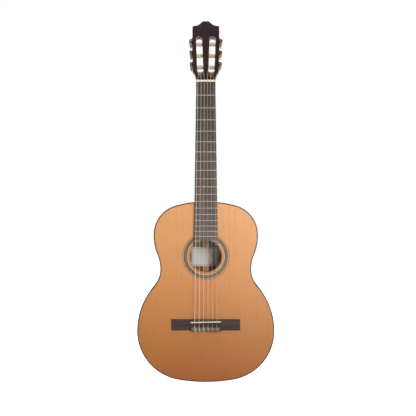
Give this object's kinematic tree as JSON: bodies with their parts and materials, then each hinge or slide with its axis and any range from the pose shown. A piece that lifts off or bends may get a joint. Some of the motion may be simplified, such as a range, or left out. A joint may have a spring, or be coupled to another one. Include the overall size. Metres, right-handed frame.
{
  "type": "classical guitar",
  "caption": "Full-size nylon-string classical guitar with a domed back, slotted headstock and worm-geared tuning machines.",
  "frame": {"origin": "tail end of the body, on the centre line, in the plane of the soundboard's outer face", "axes": "+Z along the strings towards the headstock, +X to the right seen from the front, +Y towards the back"},
  "size_m": [0.3746, 0.1168, 0.995],
  "materials": {
    "cedar": "satin western red cedar with fine straight grain",
    "mahogany": "satin mahogany",
    "rosewood": "satin rosewood",
    "ebony": "oiled dark fingerboard wood with open pores",
    "mosaic": "inlaid veneers, satin",
    "nickel_silver": "polished fret wire",
    "bone": "polished bone",
    "paper": "plain uncoated paper",
    "steel": "plated steel",
    "dark_bronze": "darkened bronze plating",
    "brass": "bright brass",
    "pearloid": "pearl plastic",
    "cream_plastic": "cream plastic",
    "nylon": "clear nylon line",
    "wound_string": "silvered copper winding"
  },
  "bodies": {
    "instrument": {"back": "mahogany", "back_braces": "mahogany", "back_centre_strip": "mahogany", "bindings": "rosewood", "bridge": "rosewood", "fan_braces": "cedar", "fingerboard": "ebony", "frets": "nickel_silver", "harmonic_bars": "cedar", "headstock": "mahogany", "headstock_veneer": "rosewood", "heel": "mahogany", "heel_cap": "rosewood", "label": "paper", "linings": "mahogany", "neck_shaft": "mahogany", "nut": "bone", "rosette": "mosaic", "saddle": "bone", "side_bass": "mahogany", "side_treble": "mahogany", "soundboard": "cedar", "soundhole_patch": "cedar", "string_1": "nylon", "string_2": "nylon", "string_3": "nylon", "string_4": "wound_string", "string_5": "wound_string", "string_6": "wound_string", "tail_block": "mahogany", "tail_graft": "rosewood", "tie_block_inlay": "mosaic", "top_purfling": "mosaic", "tuner_plate_bass": "dark_bronze", "tuner_plate_screws": "steel", "tuner_plate_treble": "dark_bronze"},
    "button_1": {"tuner_button_1": "pearloid", "worm_shaft_1": "steel"},
    "roller_1": {"string_roller_1": "cream_plastic", "tuner_gear_1": "brass"},
    "button_2": {"tuner_button_2": "pearloid", "worm_shaft_2": "steel"},
    "roller_2": {"string_roller_2": "cream_plastic", "tuner_gear_2": "brass"},
    "button_3": {"tuner_button_3": "pearloid", "worm_shaft_3": "steel"},
    "roller_3": {"string_roller_3": "cream_plastic", "tuner_gear_3": "brass"},
    "button_4": {"tuner_button_4": "pearloid", "worm_shaft_4": "steel"},
    "roller_4": {"string_roller_4": "cream_plastic", "tuner_gear_4": "brass"},
    "button_5": {"tuner_button_5": "pearloid", "worm_shaft_5": "steel"},
    "roller_5": {"string_roller_5": "cream_plastic", "tuner_gear_5": "brass"},
    "button_6": {"tuner_button_6": "pearloid", "worm_shaft_6": "steel"},
    "roller_6": {"string_roller_6": "cream_plastic", "tuner_gear_6": "brass"}
  },
  "joints": [
    {"name": "button_1_turn", "type": "hinge", "parent": "instrument", "child": "button_1", "pos_m": [0.03932, 0.02111, 0.86843], "axis": [0, 0.9659, -0.2588], "continuous": true},
    {"name": "roller_1_turn", "type": "hinge", "parent": "instrument", "child": "roller_1", "pos_m": [0.03402, 0.01882, 0.8599], "axis": [0.9995, -0.0085, -0.0317], "continuous": true, "deforming": ["string_1"]},
    {"name": "button_2_turn", "type": "hinge", "parent": "instrument", "child": "button_2", "pos_m": [0.04046, 0.03011, 0.90205], "axis": [0, 0.9659, -0.2588], "continuous": true},
    {"name": "roller_2_turn", "type": "hinge", "parent": "instrument", "child": "roller_2", "pos_m": [0.03517, 0.02783, 0.89352], "axis": [0.9995, -0.0085, -0.0317], "continuous": true, "deforming": ["string_2"]},
    {"name": "button_3_turn", "type": "hinge", "parent": "instrument", "child": "button_3", "pos_m": [0.0416, 0.03912, 0.93566], "axis": [0, 0.9659, -0.2588], "continuous": true},
    {"name": "roller_3_turn", "type": "hinge", "parent": "instrument", "child": "roller_3", "pos_m": [0.03631, 0.03684, 0.92713], "axis": [0.9995, -0.0085, -0.0317], "continuous": true, "deforming": ["string_3"]},
    {"name": "button_4_turn", "type": "hinge", "parent": "instrument", "child": "button_4", "pos_m": [-0.0416, 0.03912, 0.93566], "axis": [0, 0.9659, -0.2588], "continuous": true},
    {"name": "roller_4_turn", "type": "hinge", "parent": "instrument", "child": "roller_4", "pos_m": [-0.03631, 0.03684, 0.92713], "axis": [-0.9995, -0.0085, -0.0317], "continuous": true, "deforming": ["string_4"]},
    {"name": "button_5_turn", "type": "hinge", "parent": "instrument", "child": "button_5", "pos_m": [-0.04046, 0.03011, 0.90205], "axis": [0, 0.9659, -0.2588], "continuous": true},
    {"name": "roller_5_turn", "type": "hinge", "parent": "instrument", "child": "roller_5", "pos_m": [-0.03517, 0.02783, 0.89352], "axis": [-0.9995, -0.0085, -0.0317], "continuous": true, "deforming": ["string_5"]},
    {"name": "button_6_turn", "type": "hinge", "parent": "instrument", "child": "button_6", "pos_m": [-0.03932, 0.02111, 0.86843], "axis": [0, 0.9659, -0.2588], "continuous": true},
    {"name": "roller_6_turn", "type": "hinge", "parent": "instrument", "child": "roller_6", "pos_m": [-0.03402, 0.01882, 0.8599], "axis": [-0.9995, -0.0085, -0.0317], "continuous": true, "deforming": ["string_6"]}
  ],
  "couplings": [
    {"joint": "roller_1_turn", "follows": "button_1_turn", "ratio": 0.071429},
    {"joint": "roller_2_turn", "follows": "button_2_turn", "ratio": 0.071429},
    {"joint": "roller_3_turn", "follows": "button_3_turn", "ratio": 0.071429},
    {"joint": "roller_4_turn", "follows": "button_4_turn", "ratio": 0.071429},
    {"joint": "roller_5_turn", "follows": "button_5_turn", "ratio": 0.071429},
    {"joint": "roller_6_turn", "follows": "button_6_turn", "ratio": 0.071429}
  ]
}
